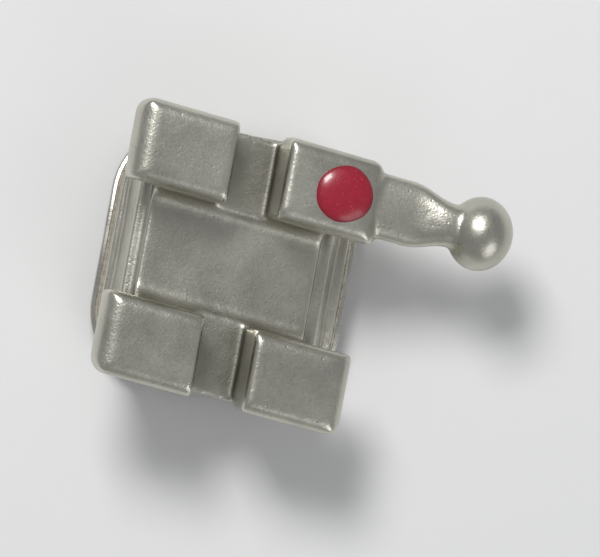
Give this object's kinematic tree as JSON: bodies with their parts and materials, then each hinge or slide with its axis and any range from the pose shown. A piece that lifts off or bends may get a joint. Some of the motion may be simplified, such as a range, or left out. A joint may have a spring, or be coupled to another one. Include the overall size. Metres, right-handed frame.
{
  "type": "orthodontic bracket",
  "caption": "Twin-wing metal orthodontic bracket with an archwire slot, ball hook, painted marker dot and curved mesh-backed bonding pad.",
  "frame": {"origin": "middle of the underside of the bracket's box, on the surface that the pad's rim rests on", "axes": "+X along the archwire slot, mesially; +Y towards the gum, the way the hook reaches; +Z away from the tooth"},
  "size_m": [0.0032, 0.0042, 0.002],
  "materials": {
    "cast_steel": "injection-moulded stainless steel, fine satin grain, edges burnished by tumbling",
    "foil_steel": "rolled stainless foil, stamped edge",
    "mesh_wire": "woven stainless wire, diffusion bonded to the foil",
    "paint_dot": "deep red paint drop, semi-gloss"
  },
  "bodies": {
    "root": {"bracket_body": "cast_steel", "base_foil": "foil_steel", "bonding_mesh": "mesh_wire", "id_dot": "paint_dot"}
  },
  "joints": []
}
